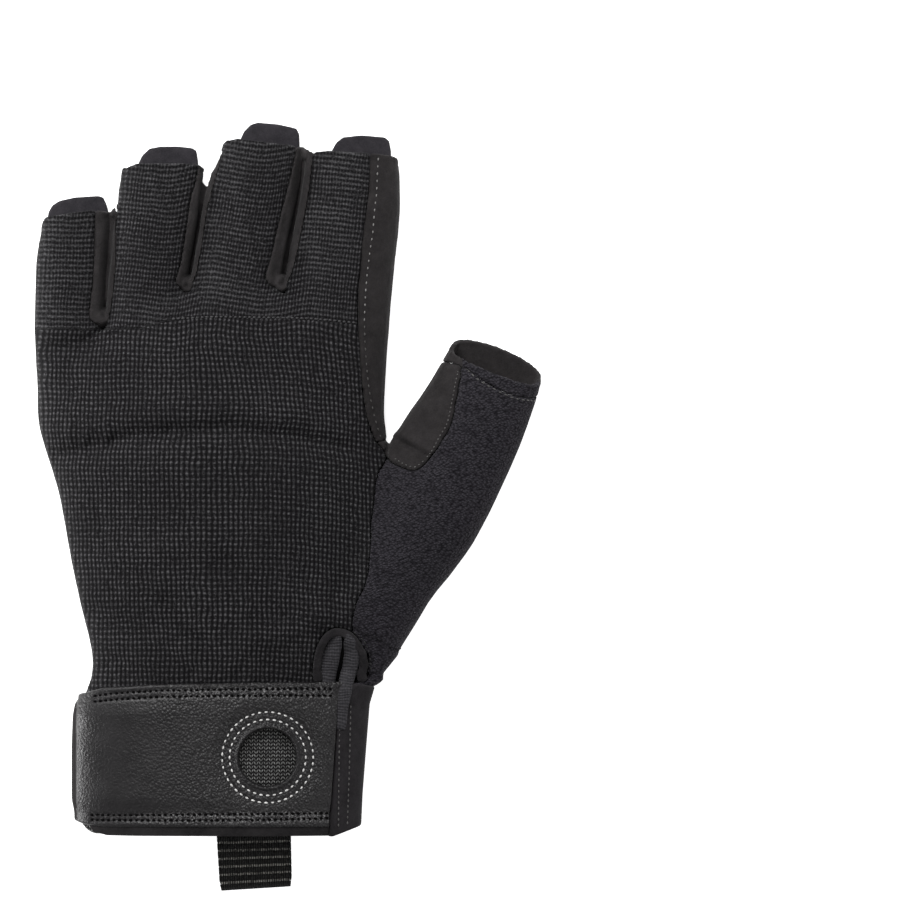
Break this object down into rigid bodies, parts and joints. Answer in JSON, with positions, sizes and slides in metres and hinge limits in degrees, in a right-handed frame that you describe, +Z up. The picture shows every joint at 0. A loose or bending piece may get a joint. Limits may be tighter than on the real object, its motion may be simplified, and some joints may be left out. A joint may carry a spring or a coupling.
{
  "type": "climbing glove",
  "caption": "Half-finger climbing glove with a stretch woven back, padded suede palm, thumb, elastic cuff and leather wrist strap, lying palm down.",
  "frame": {"origin": "centre of the footprint's bounding box, on the surface the glove lies on", "axes": "+Z up out of the back of the hand, +Y from the cuff to the fingertips, +X towards the thumb"},
  "size_m": [0.1358, 0.2048, 0.0223],
  "materials": {
    "woven": "matt woven stretch cloth",
    "suede": "matt brushed suede",
    "microfibre": "soft brushed nap",
    "terry": "looped towelling knit",
    "leather": "pebbled, semi-gloss",
    "elastic": "ribbed twill elastic",
    "webbing": "ribbed webbing"
  },
  "bodies": {
    "root": {"back_panel": "woven", "palm_panel": "suede", "palm_patch": "suede", "index_side": "suede", "fourchette_little_ring": "suede", "fourchette_ring_middle": "suede", "fourchette_middle_index": "suede", "thumb_front": "suede", "thumb_hem": "suede", "thumb_back": "terry", "slit_binding": "suede", "slit_gusset": "terry", "strap_base": "terry", "strap": "leather", "side_panel": "suede", "cuff_band": "elastic", "pull_tab": "webbing", "hang_loop_little": "webbing", "hang_loop_thumb": "webbing", "tab_little": "microfibre", "tab_ring": "microfibre", "tab_middle": "microfibre", "tab_index": "microfibre"}
  },
  "joints": []
}
